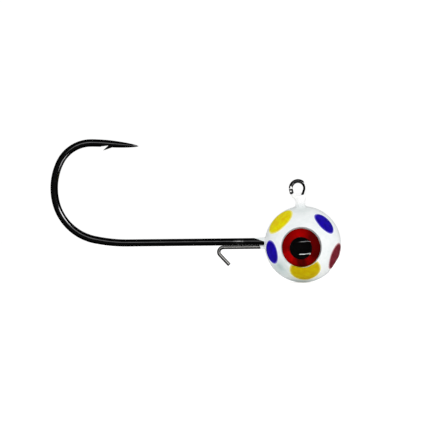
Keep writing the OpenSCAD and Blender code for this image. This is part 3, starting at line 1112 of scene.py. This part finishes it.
VIEW_W = 69.85  # width of the picture at the object, in millimetres
CAMERA_DISTANCE = 1600.0
VIEW_CENTRE = (-13.04, 3.77)  # middle of the picture from the ball's centre
ROLL = math.radians(-0.6)
FLOOR_R = 3.0  # in metres
FLOOR_GAP = 0.02
FLOOR_GLOW = 0.25

# Brightness of the room: on paint, in mirror-like surfaces, and as the backdrop
SOFT_BASE = 0.64
SOFT_SIDES = 0.6
SOFT_ABOVE = 0.25
SOFT_NOSE = 0.3
MIRROR_BASE = 0.01
MIRROR_SIDES = 0.05
BACKDROP = 1.27
LAMP_DISTANCE = 300.0
# Strip boxes: name, azimuth towards the nose, elevation, width, height, how far the nose end is
# raised, all in degrees, and brightness
LENS_STRIPS = (("lens_upper", 17, 25, 42, 4.0, 0, 4.0), ("lens_lower", 16, -26.5, 48, 4.5, 4, 12.0))
HOOK_STRIPS = (("hook_rear", 2, 18, 36, 15, 0, 1.7), ("hook_nose", 28, 21, 18, 13, 0, 13.0),
               ("hook_lower", 35, -22, 16, 20, 0, 5.0))
KEEPER_STRIPS = (("keeper_front", 0, 22, 60, 44, 0, 0.5), ("keeper_tail", 12, 11, 26, 16, 0, 1.6))


def build_camera():
    data = bpy.data.cameras.new("camera")
    data.sensor_width = 36
    data.lens = data.sensor_width * CAMERA_DISTANCE / VIEW_W
    camera = bpy.data.objects.new("camera", data)
    bpy.context.scene.collection.objects.link(camera)
    # The picture is turned by the roll about the ball, so its centre turns too
    x, z = Matrix.Rotation(ROLL, 2) @ Vector(VIEW_CENTRE)
    camera.location = Vector((x, -CAMERA_DISTANCE, z)) * MM + BALL
    turned = Matrix.Rotation(math.pi / 2, 4, "X") @ Matrix.Rotation(ROLL, 4, "Z")
    camera.rotation_euler = turned.to_euler()
    bpy.context.scene.camera = camera


def build_floor():
    bpy.ops.mesh.primitive_circle_add(vertices=96, radius=FLOOR_R, fill_type="NGON")
    floor = bpy.context.object
    floor.name = "floor"
    floor.location = (BALL.x, 0, BALL.z - (COAT_R + FLOOR_GAP) * MM)
    n = Material("floor")
    fine = n.noise(n.coords((1, 1, 1)), 3.0, 2)
    n.set(Base_Color=n.ramp(fine, [(0.0, (0.9, 0.9, 0.9)), (1.0, (0.93, 0.93, 0.93))]), Roughness=0.9,
          Specular_IOR_Level=0.0, Emission_Color=(1, 1, 1, 1), Emission_Strength=FLOOR_GLOW)
    floor.data.materials.append(n.material)
    floor.visible_glossy = False


def build_world():
    """White to the camera, soft light on the paint, and a nearly dark room in mirror-like surfaces."""
    world = bpy.data.worlds.new("studio")
    bpy.context.scene.world = world
    world.use_nodes = True
    n = Nodes(world.node_tree)

    def add(total, axis, share, low, high):
        return n.math("ADD", total, n.span(axis, 0.0, share, low, high, "SMOOTHSTEP"))

    # Incoming points from the world towards the eye, so it is turned round
    incoming = n.node("SeparateXYZ", Vector=n.node("NewGeometry").outputs["Incoming"])
    dx, dy, dz = (n.math("MULTIPLY", axis, -1.0) for axis in incoming.outputs)
    sideways = n.math("ABSOLUTE", dy)
    soft = add(SOFT_BASE, sideways, SOFT_SIDES, 0.0, 1.0)
    soft = add(soft, dz, SOFT_ABOVE, -0.7, 1.0)
    soft = add(soft, dx, SOFT_NOSE, -0.6, 0.8)
    mirrored = add(MIRROR_BASE, sideways, MIRROR_SIDES, 0.1, 1.0)

    room, mirror, backdrop = (n.node("Background", Strength=strength).outputs[0]
                              for strength in (soft, mirrored, BACKDROP))
    ray = n.node("LightPath").outputs
    shiny = n.math("MAXIMUM", ray["Is Glossy Ray"], ray["Is Transmission Ray"])
    seen = n.choose(ray["Is Camera Ray"], n.choose(shiny, room, mirror), backdrop)
    n.node("OutputWorld", Surface=seen)


def strip_lamp(name, azimuth, elevation, across, tall, raised, strength, side, centre):
    """A long soft box that points at centre. Angles are in degrees as seen from there."""
    data = bpy.data.lights.new(name, "AREA")
    data.shape = "RECTANGLE"
    data.size = 2 * LAMP_DISTANCE * math.tan(math.radians(across) / 2) * MM
    data.size_y = 2 * LAMP_DISTANCE * math.tan(math.radians(tall) / 2) * MM
    data.energy = strength * data.size * data.size_y * math.pi
    data.normalize = True
    lamp = bpy.data.objects.new(name, data)
    bpy.context.scene.collection.objects.link(lamp)
    a, e = math.radians(azimuth), math.radians(elevation)
    away = Vector((math.sin(a) * math.cos(e), side * math.cos(a) * math.cos(e), math.sin(e)))
    lamp.location = centre + away * LAMP_DISTANCE * MM
    roll = Matrix.Rotation(math.radians(-side * raised), 3, "Z")
    lamp.rotation_euler = (away.to_track_quat("Z", "Y").to_matrix() @ roll).to_euler()
    return lamp


def build_lamps(lenses, hook, keeper):
    """Strip boxes, the same on each side, that light their own pieces and no others."""
    eye = Vector((LENS_X, 0, LENS_Z)) * MM + BALL
    for strips, pieces, centre in ((LENS_STRIPS, lenses, eye), (HOOK_STRIPS, [hook], BALL),
                                   (KEEPER_STRIPS, [keeper], BALL)):
        for label, *shape in strips:
            for name, side in SIDES.items():
                lamp = strip_lamp(f"{name}_{label}", *shape, side, centre)
                receivers = bpy.data.collections.new(lamp.name + "_receivers")
                for piece in pieces:
                    receivers.objects.link(piece)
                lamp.light_linking.receiver_collection = receivers


# ---- Everything ----

def build_dots():
    paints = {key: dot_paint(key + "_paint", *colours) for key, colours in DOT_COLOURS.items()}
    nodes = sorted(n for n in frame["nodes"] if "_dot_" in n)
    for seed, node in enumerate(nodes):
        colour = node.split("_")[1]
        # The belly dots take the darker yellow, painted shade
        paint = paints["belly_yellow_painted_shade" if "belly" in node else colour]
        build_dot(node, paint, seed)


def main():
    hook = build_hook(black_nickel())
    keeper = build_keeper(stainless())
    build_coat(white_paint(), hook, keeper)
    build_dots()
    lenses = build_eyes(adhesive_foam(), iris_foil(), pupil_print(), lens_resin())
    head = frame["nodes"]["lead_head"]
    head.data.materials.clear()
    head.data.materials.append(cast_lead())
    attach(head, "root")
    build_camera()
    build_floor()
    build_world()
    build_lamps(lenses, hook, keeper)
    bpy.context.scene.view_settings.view_transform = "Standard"


main()
